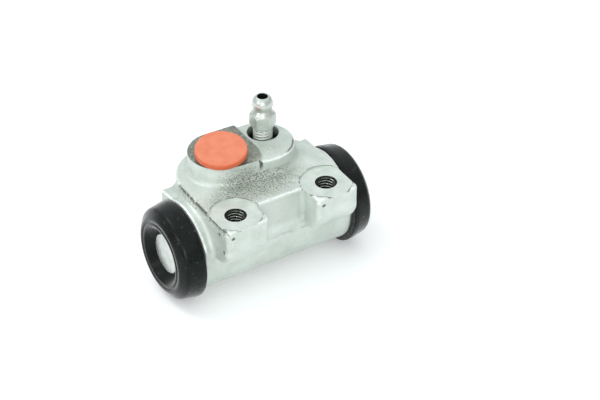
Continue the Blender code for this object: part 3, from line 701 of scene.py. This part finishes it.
def zinc_cast():
    """Zinc-plated cast skin: pale grey-green, worn bright along its edges with a painted highlight
    where they face up and on the boss's left wall, with fine dark pits between the boss and the
    pads, a broken dark seam along the flange's left edge, and painted shade in corners and hollows."""
    n = Nodes("zinc_cast", 0.35)
    x, y, z = n.axes()
    side = n.math("ABSOLUTE", x, 0.0)

    # The seam, and flash under it, which also carries painted shade in the concave foot of the
    # flange wall
    left = n.math("SUBTRACT", n.reach_from(x, y, FLANGE_LEFT, held=True), FLANGE_LEFT[2])
    seam = n.product(
        n.band(left, -0.1, 0.14, 0.34), n.ramp(z, 16.0, 16.6), n.ramp(x, -8.0, -12.0),
        n.ramp(n.noise(0.8, 3.0, 0.6), 0.38, 0.47), n.ramp(y, 10.0, 7.0))
    flash_and_foot_shade = n.product(
        n.band(left, 0.1, 0.5, 0.9), n.ramp(z, 14.6, 15.6), n.ramp(x, -8.0, -12.0),
        n.ramp(y, 9.0, 6.0), n.ramp(n.noise(1.5, 2.0, 0.6), 0.47, 0.41))

    # Painted shade lines: inside the bleed end's right rim, and round the spot faces' step
    lip = n.math("SUBTRACT", n.reach_from(x, y, BLEED_END), BLEED_END[2])
    rim_shade_line = n.product(
        n.band(lip, -0.55, 0.16, 0.26), n.ramp(z, 21.6, 22.0), n.ramp(x, 9.0, 10.5),
        n.ramp(y, 3.6, 2.4))
    spot_step_shade = n.product(
        n.band(n.reach_from(side, y, (HOLE_X, HOLE_Y)), SPOT + 0.08, 0.12, 0.24),
        n.ramp(z, 16.6, 16.9), n.ramp(n.noise(0.5, 3.0), 0.36, 0.5))

    # Pits, dense on the rough ground and sparse elsewhere, and painted shade in the inner corners
    rough = n.mask("speckle")
    pits = n.product(
        n.ramp(n.noise(2.3, 2.0, 0.6), 0.50, 0.43), n.ramp(n.noise(0.5, 2.0), 0.26, 0.42))
    sparse = n.ramp(n.noise(1.1, 2.0), 0.35, 0.29)
    painted_crease_shade = n.product(n.mask("painted_crease_shade"), n.ramp(n.noise(0.7, 3.0, 0.6), 0.34, 0.58))
    holes = [n.zone(place, PIT_REACH, 0.7, 1.0) for place in CORNER_PITS]

    # Painted shade: on the web between the pads, the flange's left wall, the bleed end's wall and
    # in the notch
    web_shade = n.product(
        n.ramp(side, PAD_INNER + 0.1, PAD_INNER - 0.3), n.ramp(y, -17.0, -14.5),
        n.ramp(z, 16.9, 16.2), n.ramp(z, 6.5, 8.5))
    fold = n.product(
        n.ramp(x, -20.8, -22.4), n.ramp(z, 15.0, 13.5), n.ramp(z, -4.0, 3.0), n.ramp(y, 6.0, 0.0))
    wall = n.product(n.ramp(z, 17.6, 19.0), n.ramp(x, 6.0, 9.0), n.ramp(y, 6.0, 3.0))
    groove = n.zone((NOTCH[0], NOTCH[1], 21.9), (0.65, 1.2, 2.3), 0.75, 1.0)

    # Real pits, seam and flash, mixed with painted shade in corners, lines, the web and the notch
    dark = n.most(
        n.product(pits, n.math("ADD", n.product(rough, 0.82), 0.05)), n.product(sparse, 0.22),
        n.product(seam, 0.95), n.product(flash_and_foot_shade, 0.6), n.product(rim_shade_line, 0.9),
        n.product(spot_step_shade, 0.85), n.product(painted_crease_shade, 0.30), n.product(web_shade, 0.17),
        n.product(wall, 0.06), n.product(groove, 0.9), n.product(fold, 0.20), *holes)
    ground = n.mix(n.product(rough, 0.42), n.mottled(0.14, *ZINC), ZINC_ROUGH)
    # Edges are worn bright, with a painted highlight on those that face up
    rubbed = n.product(n.mask("edge"), n.ramp(n.noise(0.9, 3.0), 0.28, 0.48))
    # A painted highlight on the boss's left wall
    shine = n.product(n.zone((-13.0, 0.0, 21.2), (7.5, 5.5, 2.4), 0.4, 1.0), 0.40)
    n.color(n.mix(dark, n.mix(n.most(rubbed, shine), ground, ZINC_WORN_AND_LIT), DIRT_AND_SHADE))
    wander = n.ramp(n.noise(1.3, 3.0, 0.6), 0.3, 0.7, 0.32, 0.48)
    n.link(wander, n.shader.inputs["Roughness"])
    grain = n.product(n.noise(1.1, 3.0, 0.55), 0.8)
    grain = n.math("SUBTRACT", grain, n.most(pits, seam, flash_and_foot_shade, rim_shade_line, *holes))
    deep = n.most(rough, seam, flash_and_foot_shade, rim_shade_line, *holes)
    n.bump(grain, 0.10, n.ramp(deep, 0.0, 1.0, 0.22, 0.9))
    return n.material


def zinc_machined():
    """Cut faces under the same plating: smoother, with fine tool marks."""
    n = Nodes("zinc_machined", 0.4)
    n.color(n.mottled(0.25, *ZINC))
    n.roughness(3.0, 2.0, 0.28, 0.40)
    n.bump(n.noise(2.2, 2.0), 0.012, 0.5)
    return n.material


def recess_shaded_metal():
    """The bleed port's recess: thin plating near its mouth, darkened towards its floor as painted
    shade.
    """
    n = Nodes("recess_shaded_metal", 0.3)
    z = n.axes()[2]
    shade_depth = n.math("ADD", z, n.ramp(n.noise(0.5, 3.0), 0.3, 0.7, -0.5, 0.5))
    n.color(n.mix(n.ramp(shade_depth, 19.4, 22.2), *RECESS_SHADE))
    n.roughness(3.0, 2.0, 0.35, 0.5)
    n.bump(n.noise(2.2, 2.0), 0.02, 0.5)
    return n.material


def port_metal():
    """Bare cut iron of the port face and the ports: darker and warmer than the plating, with a
    mottled film."""
    n = Nodes("port_metal", 0.7)
    bare = n.mottled(0.25, *IRON)
    n.color(n.mix(n.ramp(n.noise(1.3, 3.0, 0.6), 0.52, 0.68), bare, IRON_FILM))
    n.roughness(3.0, 2.0, 0.35, 0.5)
    n.bump(n.noise(2.2, 2.0), 0.02, 0.5)
    return n.material


def hollow_dark():
    """The unlit inside of the nipple's bore."""
    n = Nodes("hollow_dark")
    n.color(n.mix(n.noise(1.0), *HOLLOW))
    n.shader.inputs["Roughness"].default_value = 0.8
    n.shader.inputs["Specular IOR Level"].default_value = 0.1
    return n.material


def zinc_thread():
    """Thread flanks of the screw holes: painted shade darkens the roots, and the crests are rubbed
    bright.
    """
    n = Nodes("zinc_thread", 1.0)
    x, y, _ = n.axes()
    out = n.reach_from(n.math("ABSOLUTE", x, 0.0), y, (HOLE_X, HOLE_Y))
    n.color(n.mix(n.ramp(out, 2.66, 2.53), *THREAD_SHADED_ROOTS))
    n.roughness(1.5, 2.0, 0.16, 0.26)
    return n.material


def rubber(name, shine):
    """Moulded black rubber: a thin shine that grows at grazing angles, with specks of dust."""
    n = Nodes(name)
    dust = n.product(
        n.ramp(n.noise(1.6, 2.0, 0.6), 0.64, 0.70), n.ramp(n.noise(0.25, 2.0), 0.45, 0.60))
    n.color(n.mix(dust, n.mottled(0.3, *RUBBER), DUST))
    n.roughness(0.5, 3.0, shine, shine + 0.10)
    n.shader.inputs["Specular IOR Level"].default_value = 0.15
    n.shader.inputs["Sheen Weight"].default_value = 0.65
    n.shader.inputs["Sheen Roughness"].default_value = 0.35
    n.bump(n.noise(1.1, 3.0), 0.02, 0.5)
    return n.material


def turned_metal(name, low, high):
    """Turned metal: fine rings round the bore's axis and a soft satin."""
    n = Nodes(name, 0.9)
    n.color(n.mottled(0.5, low, high))
    n.roughness(2.0, 2.0, 0.26, 0.38)
    wave = n.add("ShaderNodeTexWave", wave_type="RINGS", rings_direction="X")
    moved = n.add("ShaderNodeMapping")
    moved.inputs["Location"].default_value = tuple(-BORE_PLACE * MM)
    n.link(n.place, moved.inputs["Vector"])
    n.link(moved.outputs["Vector"], wave.inputs["Vector"])
    wave.inputs["Scale"].default_value = 0.9 / MM
    wave.inputs["Distortion"].default_value = 0.6
    n.bump(wave.outputs["Fac"], 0.008, 0.5)
    return n.material


def bright_plating():
    """The bleed screw's bright zinc plating."""
    n = Nodes("bright_plating", 0.7)
    n.color(n.mottled(0.4, *SCREW))
    n.roughness(0.8, 3.0, 0.28, 0.38)
    n.bump(n.noise(1.2, 3.0), 0.006, 0.5)
    return n.material


def orange_plastic():
    """The plug's soft orange plastic, slightly uneven, with painted shade deepening its colour
    round its rim.
    """
    n = Nodes("orange_plastic")
    x, y, _ = n.axes()
    face = n.mix(n.ramp(n.noise(0.35, 3.0), 0.3, 0.7), *ORANGE)
    # Painted shade round the rim
    rim = n.ramp(n.reach_from(x, y, PLUG_MIDDLE), PLUG_RADIUS - 0.45, PLUG_RADIUS - 0.1)
    n.color(n.mix(rim, face, ORANGE_RIM_SHADE))
    n.roughness(1.0, 3.0, 0.38, 0.5)
    n.shader.inputs["Subsurface Weight"].default_value = 0.15
    n.shader.inputs["Subsurface Scale"].default_value = 0.002
    n.bump(n.noise(0.6, 3.0), 0.05, 0.4)
    return n.material


def threaded(minor, major):
    """Radius of a screw thread: a flattened V between two radii that climbs one pitch a turn."""

    def shape(radius, height, turn):
        phase = np.mod(height / THREAD_PITCH - turn / math.tau, 1.0)
        ridge = np.clip((np.abs(2 * phase - 1) - 0.1) / 0.8, 0.0, 1.0)
        return minor + (major - minor) * ridge

    return shape


def mound(points, center, reach):
    """Distance of points from a place, in shares of an ellipsoid's reach."""
    return np.sqrt((((points - center) / reach) ** 2).sum(1))


def wear_and_light_masks(mesh):
    """Three values a vertex: one for wear and a painted highlight where the field bends outwards
    and faces up, one for painted shade where it bends inwards, both from its second difference over
    a small reach, and speckle, which is 1 in the rough ground between boss and pads and fades out
    round it."""
    points = np.zeros(len(mesh.vertices) * 3)
    mesh.vertices.foreach_get("co", points)
    points = points.reshape(-1, 3) / MM - BORE_PLACE
    reach, bend = 0.4, -6.0 * casting_field(*points.T)
    for axis in range(3):
        move = np.zeros(3)
        move[axis] = reach
        ahead, behind = casting_field(*(points + move).T), casting_field(*(points - move).T)
        bend = bend + ahead + behind
    bend /= reach * reach
    upwards = smooth((ahead - behind) / (2 * reach), 0.1, 0.4)
    x, _, z = points.T
    wall = smooth(z, 19.0, 20.0) * smooth(x, -3.0, 0.0)
    ground = 1 - smooth(mound(points, (-4.0, -6.0, 18.3), (22.0, 8.5, 7.5)), 0.35, 1.0)
    shoulder = 1 - smooth(mound(points, (5.5, 2.5, 22.6), (6.0, 4.6, 3.0)), 0.4, 1.0)
    corner = 1 - smooth(mound(points, (-20.5, -18.0, 13.0), (3.2, 4.5, 5.5)), 0.4, 1.0)
    spots = {
        # Wear and a painted highlight on outward bends that face up
        "edge": smooth(bend, 0.7, 1.5) * upwards * (1 - smooth(z, 22.8, 23.1)),
        # Painted shade in inward bends
        "painted_crease_shade": smooth(-bend, 0.35, 1.0),
        "speckle": np.maximum(np.maximum(ground * (1 - wall), 0.30 * shoulder), 0.45 * corner),
    }
    for name, values in spots.items():
        layer = mesh.attributes.new(name, "FLOAT", "POINT")
        layer.data.foreach_set("value", values.astype(np.float32))


def cutter(profile, sides, center, material, name):
    """A turned solid that cuts the casting."""
    points, faces = shell(upright(np.array(profile, float), sides, center))
    return piece(name, points, faces, material)


def hole_cutter(x, material):
    """A screw hole as a solid: chamfered mouth, thread, and the drill's cone."""
    bottom = FACE - HOLE_DEPTH
    heights = np.linspace(FACE - 0.35, bottom, 89)
    line = np.stack((heights * 0, heights), axis=-1)
    rows = upright(line, 56, (x, HOLE_Y), threaded(HOLE_MINOR, HOLE_MAJOR))
    mouth = upright(np.array([(r, FACE + up) for r, up in HOLE_MOUTH]), 56, (x, HOLE_Y))
    end = upright(np.array([(HOLE_MINOR, bottom - 0.1)]), 56, (x, HOLE_Y))
    points, faces = shell(np.concatenate((mouth, rows, end), axis=0))
    points[-1] = (x, HOLE_Y, bottom - HOLE_POINT)
    return piece("hole_cutter", points, faces, material)


def passage_cutter(material):
    """The drilled passage that slants from the bleed port down into the bore."""
    rod = np.array([(PASSAGE_RADIUS, 0.0), (PASSAGE_RADIUS, -PASSAGE_LENGTH)])
    points, faces = shell(upright(rod, 32, (0.0, 0.0)))
    x, y, z = points.T
    lean, rise = math.sin(PASSAGE_TILT), math.cos(PASSAGE_TILT)
    points = np.stack((x, y * rise + z * lean, z * rise - y * lean), axis=-1)
    return piece("passage_cutter", points + (*BLEED, BLEED_BOTTOM), faces, material)


def cast_body(material):
    """The cast skin: the field's surface, raised and sunk by two sizes of smooth noise."""
    step = NET_STEP
    low = (-BARREL_HALF - NET_MARGIN, PAD_FRONT - NET_MARGIN, -BARREL - NET_MARGIN)
    high = (BARREL_HALF + NET_MARGIN, 21.7, 25.3)
    points, quads = surface_net(casting_field, low, high, step)
    points = settled(casting_field, points)
    slope = field_normal(casting_field, points)
    slope /= np.linalg.norm(slope, axis=1)[:, None]
    rough = sum(tall * lattice_noise(points, size, seed) for tall, size, seed in CAST_GRAIN)
    return piece("casting", points + slope * rough[:, None], quads.tolist(), material)


def cut_tools(cut, recess, dark, thread):
    """The solids that are joined to the casting or cut from it, in order."""
    groove_start, groove_end, groove = GROOVE
    half = [
        (0.0, SPIGOT_END, 0), (SPIGOT, SPIGOT_END, SPIGOT_EDGE), (SPIGOT, groove_end, GROOVE_EDGE),
        (groove, groove_end, GROOVE_CORNER), (groove, groove_start, GROOVE_CORNER),
        (SPIGOT, groove_start, GROOVE_EDGE),
    ]
    mirrored = [(radius, -along, rounding) for radius, along, rounding in half[::-1]]
    spigot = filleted(half + [(SPIGOT, 0.0, 0)] + mirrored, 3)[1:-1]
    bore = np.array([
        (BORE + 0.9, SPIGOT_END + 0.3), (BORE, SPIGOT_END - 0.6), (BORE, -SPIGOT_END + 0.6),
        (BORE + 0.9, -SPIGOT_END - 0.3),
    ])
    spot = [(SPOT, CUT_TOP), (SPOT, FACE)]
    port_face = [(18.0, 27.0), (18.0, PORT_FACE)]
    port = [
        (PORT_RADIUS, 25.0), (PORT_RADIUS, PORT_BOTTOM), (PORT_PASSAGE, PORT_BOTTOM - 2.0),
        (PORT_PASSAGE, 0.0),
    ]
    bleed = [
        (RECESS_MOUTH, BOSS_TOP + 0.3), (RECESS_RADIUS, BOSS_TOP - 0.1),
        (RECESS_RADIUS, BLEED_FLOOR), (BLEED_RADIUS, BLEED_FLOOR), (BLEED_RADIUS, BLEED_BOTTOM),
        (0.02, BLEED_BOTTOM - 1.95),
    ]
    spigots = piece("spigots", *shell(around_bore(spigot, 96)), cut)
    cuts = [
        piece("bore", *shell(around_bore(bore, 96)), cut),
        cutter(spot, 96, (-HOLE_X, HOLE_Y), cut, "left_spot"),
        cutter(spot, 96, (HOLE_X, HOLE_Y), cut, "right_spot"),
        hole_cutter(-HOLE_X, thread),
        hole_cutter(HOLE_X, thread),
        cutter(port_face, 64, PORT, dark, "port_face"),
        cutter(port, 64, PORT, dark, "port_bore"),
        cutter(bleed, 96, BLEED, recess, "bleed_bore"),
        passage_cutter(dark),
    ]
    return [("UNION", spigots)] + [("DIFFERENCE", tool) for tool in cuts]


def casting():
    """The iron casting: cast skin, then its machined faces, bore, ports and threads, each cut in
    its own finish."""
    body = cast_body(zinc_cast())
    tools = cut_tools(zinc_machined(), recess_shaded_metal(), port_metal(), zinc_thread())
    for operation, tool in tools:
        modifier = body.modifiers.new(tool.name, "BOOLEAN")
        modifier.operation = operation
        modifier.solver = "MANIFOLD"
        modifier.material_mode = "TRANSFER"
        modifier.object = tool
    bpy.context.view_layer.update()
    finished = body.evaluated_get(bpy.context.evaluated_depsgraph_get())
    mesh = bpy.data.meshes.new_from_object(finished)
    body.modifiers.clear()
    body.data = mesh
    mesh.shade_smooth()
    mesh.set_sharp_from_angle(angle=math.radians(38))
    wear_and_light_masks(mesh)
    for _, tool in tools:
        bpy.data.objects.remove(tool)
    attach(body, "housing")
    return dress(body, "cylinder_body")


def boot(side, word, material):
    """A boot: cuff on the spigot, round rim, and a fold in to the piston's neck, turned round
    the bore."""
    profile = filleted(BOOT_PROFILE, 6, closed=True)
    grid = around_bore(profile, 160, side)
    obj = piece(f"{word}_boot_rubber", *shell(grid, ring=True), material)
    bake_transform(obj)
    return dress(obj, f"{word}_boot")


def piston(side, word, material):
    """A piston with its nose, the boot's neck groove and a centre mark on its face."""
    grid = around_bore(filleted(PISTON_PROFILE, 4), 120, side)
    obj = piece(f"{word}_piston_turned", *shell(grid), material)
    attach(obj, f"{word}_plunger")
    return dress(obj, f"{word}_piston")


def seal_cup(side, word, material):
    """A seal cup: a round rubber wall with a lip that flares towards the fluid."""
    grid = around_bore(filleted(CUP_PROFILE, 5), 96, side)
    obj = piece(f"{word}_cup_rubber", *shell(grid), material)
    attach(obj, f"{word}_plunger")
    return dress(obj, f"{word}_seal_cup")


def half_spring(side, word, material):
    """Half of the coil spring: a round wire carried along a helix whose last turn closes up."""
    path = np.linspace(0.0, SPRING_TURNS, 170)
    open_turns = SPRING_TURNS - 1.0
    along = np.minimum(path, open_turns) * (SPRING_REACH - SPRING_CLOSED) / open_turns
    along = along + SPRING_CLOSED * np.maximum(path - open_turns, 0)
    turn = side * path * math.tau
    section = np.arange(12) * math.tau / 12
    radius = SPRING_COIL + SPRING_WIRE * np.cos(section)
    grid = np.stack(np.broadcast_arrays(
        side * along[:, None] + SPRING_WIRE * np.sin(section),
        radius * np.cos(turn)[:, None],
        radius * np.sin(turn)[:, None],
    ), axis=-1)
    obj = piece(f"piston_spring_{word}_half", *shell(grid), material)
    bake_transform(obj)
    return dress(obj, "piston_spring")


def screw_profile():
    """The bleed screw's (radius, height) profile from its nipple down to its tip, and which of
    its rows are thread."""
    corner = HEX_HALF / math.cos(math.pi / 6)
    middle = NIPPLE_TOP - BALL_DROP
    ball = [(BALL * math.cos(turn), middle + BALL * math.sin(turn), 0.0)
            for turn in np.linspace(BALL_START, BALL_END, 16)]
    upper = filleted([
        (0.02, NIPPLE_TOP - 4.0, 0), (NIPPLE_BORE, NIPPLE_TOP - 3.6, 0),
        (NIPPLE_BORE, NIPPLE_TOP - 0.5, 0), (NIPPLE_BORE + 0.15, NIPPLE_TOP, 0.12), *ball,
        (NECK_FOOT, HEX_HIGH + 0.25, 0.2), (NECK_FOOT + 0.15, HEX_HIGH, 0.05),
        (corner - HEX_CHAMFER, HEX_HIGH, 0.1),
    ], 7)
    chamfer = np.linspace(0.0, 1.0, 6)[1:]
    slope = corner - HEX_CHAMFER * (1 - chamfer), HEX_HIGH - HEX_CHAMFER * chamfer
    top = np.stack(slope, axis=-1)
    foot = [(corner, HEX_LOW + 0.25), (corner - 0.35, HEX_LOW), (2.9, HEX_LOW)]
    heights = np.linspace(HEX_LOW - 0.2, TIP_END + TIP_LENGTH, 133)
    shank = np.stack((heights * 0 + 2.95, heights), axis=-1)
    tip = filleted([
        (2.4, TIP_END + 3.4, 0), (2.4, TIP_END + 2.0, 0.1), (1.3, TIP_END, 0.2), (0.02, TIP_END, 0),
    ], 4)
    profile = np.vstack((upper, top, foot, shank, tip))
    is_thread = np.zeros(len(profile), bool)
    is_thread[len(upper) + len(top) + len(foot):-len(tip)] = True
    return profile, is_thread


def bleed_screw(plating, hollow):
    """The bleed screw as one turned surface: cone tip, thread, chamfered hexagon, neck and ball.
    The hexagon's radius is held to its flats."""
    profile, is_thread = screw_profile()
    radius, height = profile.T
    is_hex = (height >= HEX_LOW) & (height <= HEX_HIGH) & (radius > 2.5)
    thread = threaded(SCREW_MINOR, SCREW_MAJOR)

    def shape(radius, height, turn):
        from_flat = np.mod(turn - HEX_TURN + math.pi / 6, math.pi / 3) - math.pi / 6
        flat = HEX_HALF / np.cos(from_flat)
        radius = np.where(is_hex[:, None], np.minimum(radius, flat), radius)
        return np.where(is_thread[:, None], thread(radius, height, turn), radius)

    grid = upright(profile, 144, BLEED, shape)
    obj = piece("bleed_screw_plated", *shell(grid), plating, 20.0)
    mark_inside(obj, hollow, BLEED, NIPPLE_BORE + 0.08, NIPPLE_TOP - 4.2)
    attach(obj, "bleeder")
    return dress(obj, "bleed_screw")


def mark_inside(obj, material, center, radius, low):
    """Gives a material to the faces of a bore, which lie within a radius of an upright axis and
    above a height."""
    obj.data.materials.append(material)
    middle = np.zeros(len(obj.data.polygons) * 3)
    obj.data.polygons.foreach_get("center", middle)
    x, y, z = (middle.reshape(-1, 3) / MM - BORE_PLACE).T
    inside = (np.hypot(x - center[0], y - center[1]) < radius) & (z > low)
    obj.data.polygons.foreach_set("material_index", inside.astype(np.int32))


def port_plug(material):
    """The orange plug: a disc with a soft, slightly uneven rim on a stem, pushed in askew."""

    def shape(radius, height, turn):
        wave = 0.05 * np.cos(3 * turn + 0.6) + 0.03 * np.cos(5 * turn + 2.0) - 0.08
        return radius * (1 + wave / PLUG_RADIUS * (radius > 7.0))

    points, faces = shell(upright(filleted(PLUG_PROFILE, 6), 128, (0.0, 0.0), shape))
    lean = Matrix.Rotation(PLUG_LEAN_TURN, 3, "Z") @ Matrix.Rotation(PLUG_LEAN, 3, "X")
    lift = PLUG_RADIUS * math.sin(PLUG_LEAN) + PLUG_LIFT
    points = points @ np.array(lean).T + (*PLUG_MIDDLE, PORT_FACE + lift)
    obj = piece("port_plug_cap", points, faces, material)
    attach(obj, "plug")
    return dress(obj, "port_plug")


def area_light(name, place, size, power):
    """A rectangular lamp that faces the row frame's origin."""
    data = bpy.data.lights.new(name, "AREA")
    data.shape = "RECTANGLE"
    data.size, data.size_y = size
    data.energy = power
    obj = placed(name, data)
    obj.location = place
    obj.rotation_mode = "QUATERNION"
    obj.rotation_quaternion = Vector(place).to_track_quat("Z", "Y")


def add_floor(level, half=3.0, glow_strength=0.21):
    """A wide pale floor, lifted to white where the camera or a reflection sees it. Seen from
    below it lets the view through."""
    n = Nodes("floor_white")
    rays = n.add("ShaderNodeLightPath").outputs
    seen = n.most(rays["Is Camera Ray"], rays["Is Glossy Ray"], rays["Is Transmission Ray"])
    n.shader.inputs["Base Color"].default_value = (*FLOOR_WHITE, 1.0)
    n.shader.inputs["Roughness"].default_value = 0.9
    n.shader.inputs["Specular IOR Level"].default_value = 0.0
    glow = n.add("ShaderNodeEmission")
    n.link(n.product(seen, glow_strength), glow.inputs["Strength"])
    both = n.add("ShaderNodeAddShader")
    n.link(n.shader.outputs[0], both.inputs[0])
    n.link(glow.outputs[0], both.inputs[1])
    clear = n.add("ShaderNodeBsdfTransparent")
    side = n.add("ShaderNodeMixShader")
    n.link(n.add("ShaderNodeNewGeometry").outputs["Backfacing"], side.inputs[0])
    n.link(both.outputs[0], side.inputs[1])
    n.link(clear.outputs[0], side.inputs[2])
    n.link(side.outputs[0], n.tree.nodes["Material Output"].inputs["Surface"])
    mesh = bpy.data.meshes.new("floor")
    corners = (-half, -half), (half, -half), (half, half), (-half, half)
    mesh.from_pydata([(x, y, level) for x, y in corners], [], [(0, 1, 2, 3)])
    mesh.materials.append(n.material)
    floor = placed("floor", mesh)


def add_world():
    """Soft studio light, brighter from above, and white where the camera sees it."""
    world = bpy.data.worlds.new("studio")
    bpy.context.scene.world = world
    world.use_nodes = True
    nodes, links = world.node_tree.nodes, world.node_tree.links
    background = nodes["Background"]
    background.inputs["Color"].default_value = (*SKY_WHITE, 1.0)
    split = nodes.new("ShaderNodeSeparateXYZ")
    links.new(nodes.new("ShaderNodeTexCoord").outputs["Generated"], split.inputs[0])
    height = nodes.new("ShaderNodeMapRange")
    for key, value in (("From Min", 0.05), ("From Max", 0.85), ("To Min", 0.35), ("To Max", 1.2)):
        height.inputs[key].default_value = value
    links.new(split.outputs["Z"], height.inputs["Value"])
    choose = nodes.new("ShaderNodeMapRange")
    choose.inputs["To Max"].default_value = 1.0
    links.new(height.outputs["Result"], choose.inputs["To Min"])
    rays = nodes.new("ShaderNodeLightPath")
    links.new(rays.outputs["Is Camera Ray"], choose.inputs["Value"])
    links.new(choose.outputs["Result"], background.inputs["Strength"])


def add_camera():
    """The photograph's view: 32 degrees left of the front, 36 degrees up, from 814 mm away."""
    azimuth, elevation = math.radians(-31.89), math.radians(36.25)
    distance, right_shift, up_shift, focal_pixels, width_pixels = 814.0, 13.06, 6.13, 2719.0, 600
    back = np.array((math.sin(azimuth) * math.cos(elevation),
                     -math.cos(azimuth) * math.cos(elevation), math.sin(elevation)))
    right = np.array((math.cos(azimuth), math.sin(azimuth), 0.0))
    up = np.cross(back, right)
    place = to_row(distance * back + right_shift * right + up_shift * up)
    data = bpy.data.cameras.new("camera")
    data.sensor_width = 36.0
    data.lens = focal_pixels / width_pixels * data.sensor_width
    data.clip_start, data.clip_end = 0.05, 20.0
    camera = placed("camera", data)
    turn = Matrix((right, up, back)).transposed().to_4x4()
    camera.matrix_world = Matrix.Translation(Vector(place)) @ turn
    bpy.context.scene.camera = camera


for start_object in list(bpy.data.objects):
    bpy.data.objects.remove(start_object)
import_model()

bpy.context.scene.view_settings.view_transform = "Standard"
add_camera()
add_world()
area_light("top_back", (-0.3, 0.35, 0.7), (0.25, 0.25), 1.2)
area_light("front", (-0.45, -0.75, 0.35), (0.5, 0.3), 2.7)
area_light("left", (-0.85, -0.1, 0.45), (0.3, 0.3), 1.2)
add_floor((BORE_PLACE[2] - COLLAR) * MM)

casting()
boot_rubber, cup_rubber = rubber("boot_rubber", 0.22), rubber("cup_rubber", 0.3)
piston_metal = turned_metal("piston_metal", *PISTON)
spring_steel = turned_metal("spring_steel", *SPRING)
for side, word in ((-1, "left"), (1, "right")):
    boot(side, word, boot_rubber)
    piston(side, word, piston_metal)
    seal_cup(side, word, cup_rubber)
    half_spring(side, word, spring_steel)
bleed_screw(bright_plating(), hollow_dark())
port_plug(orange_plastic())
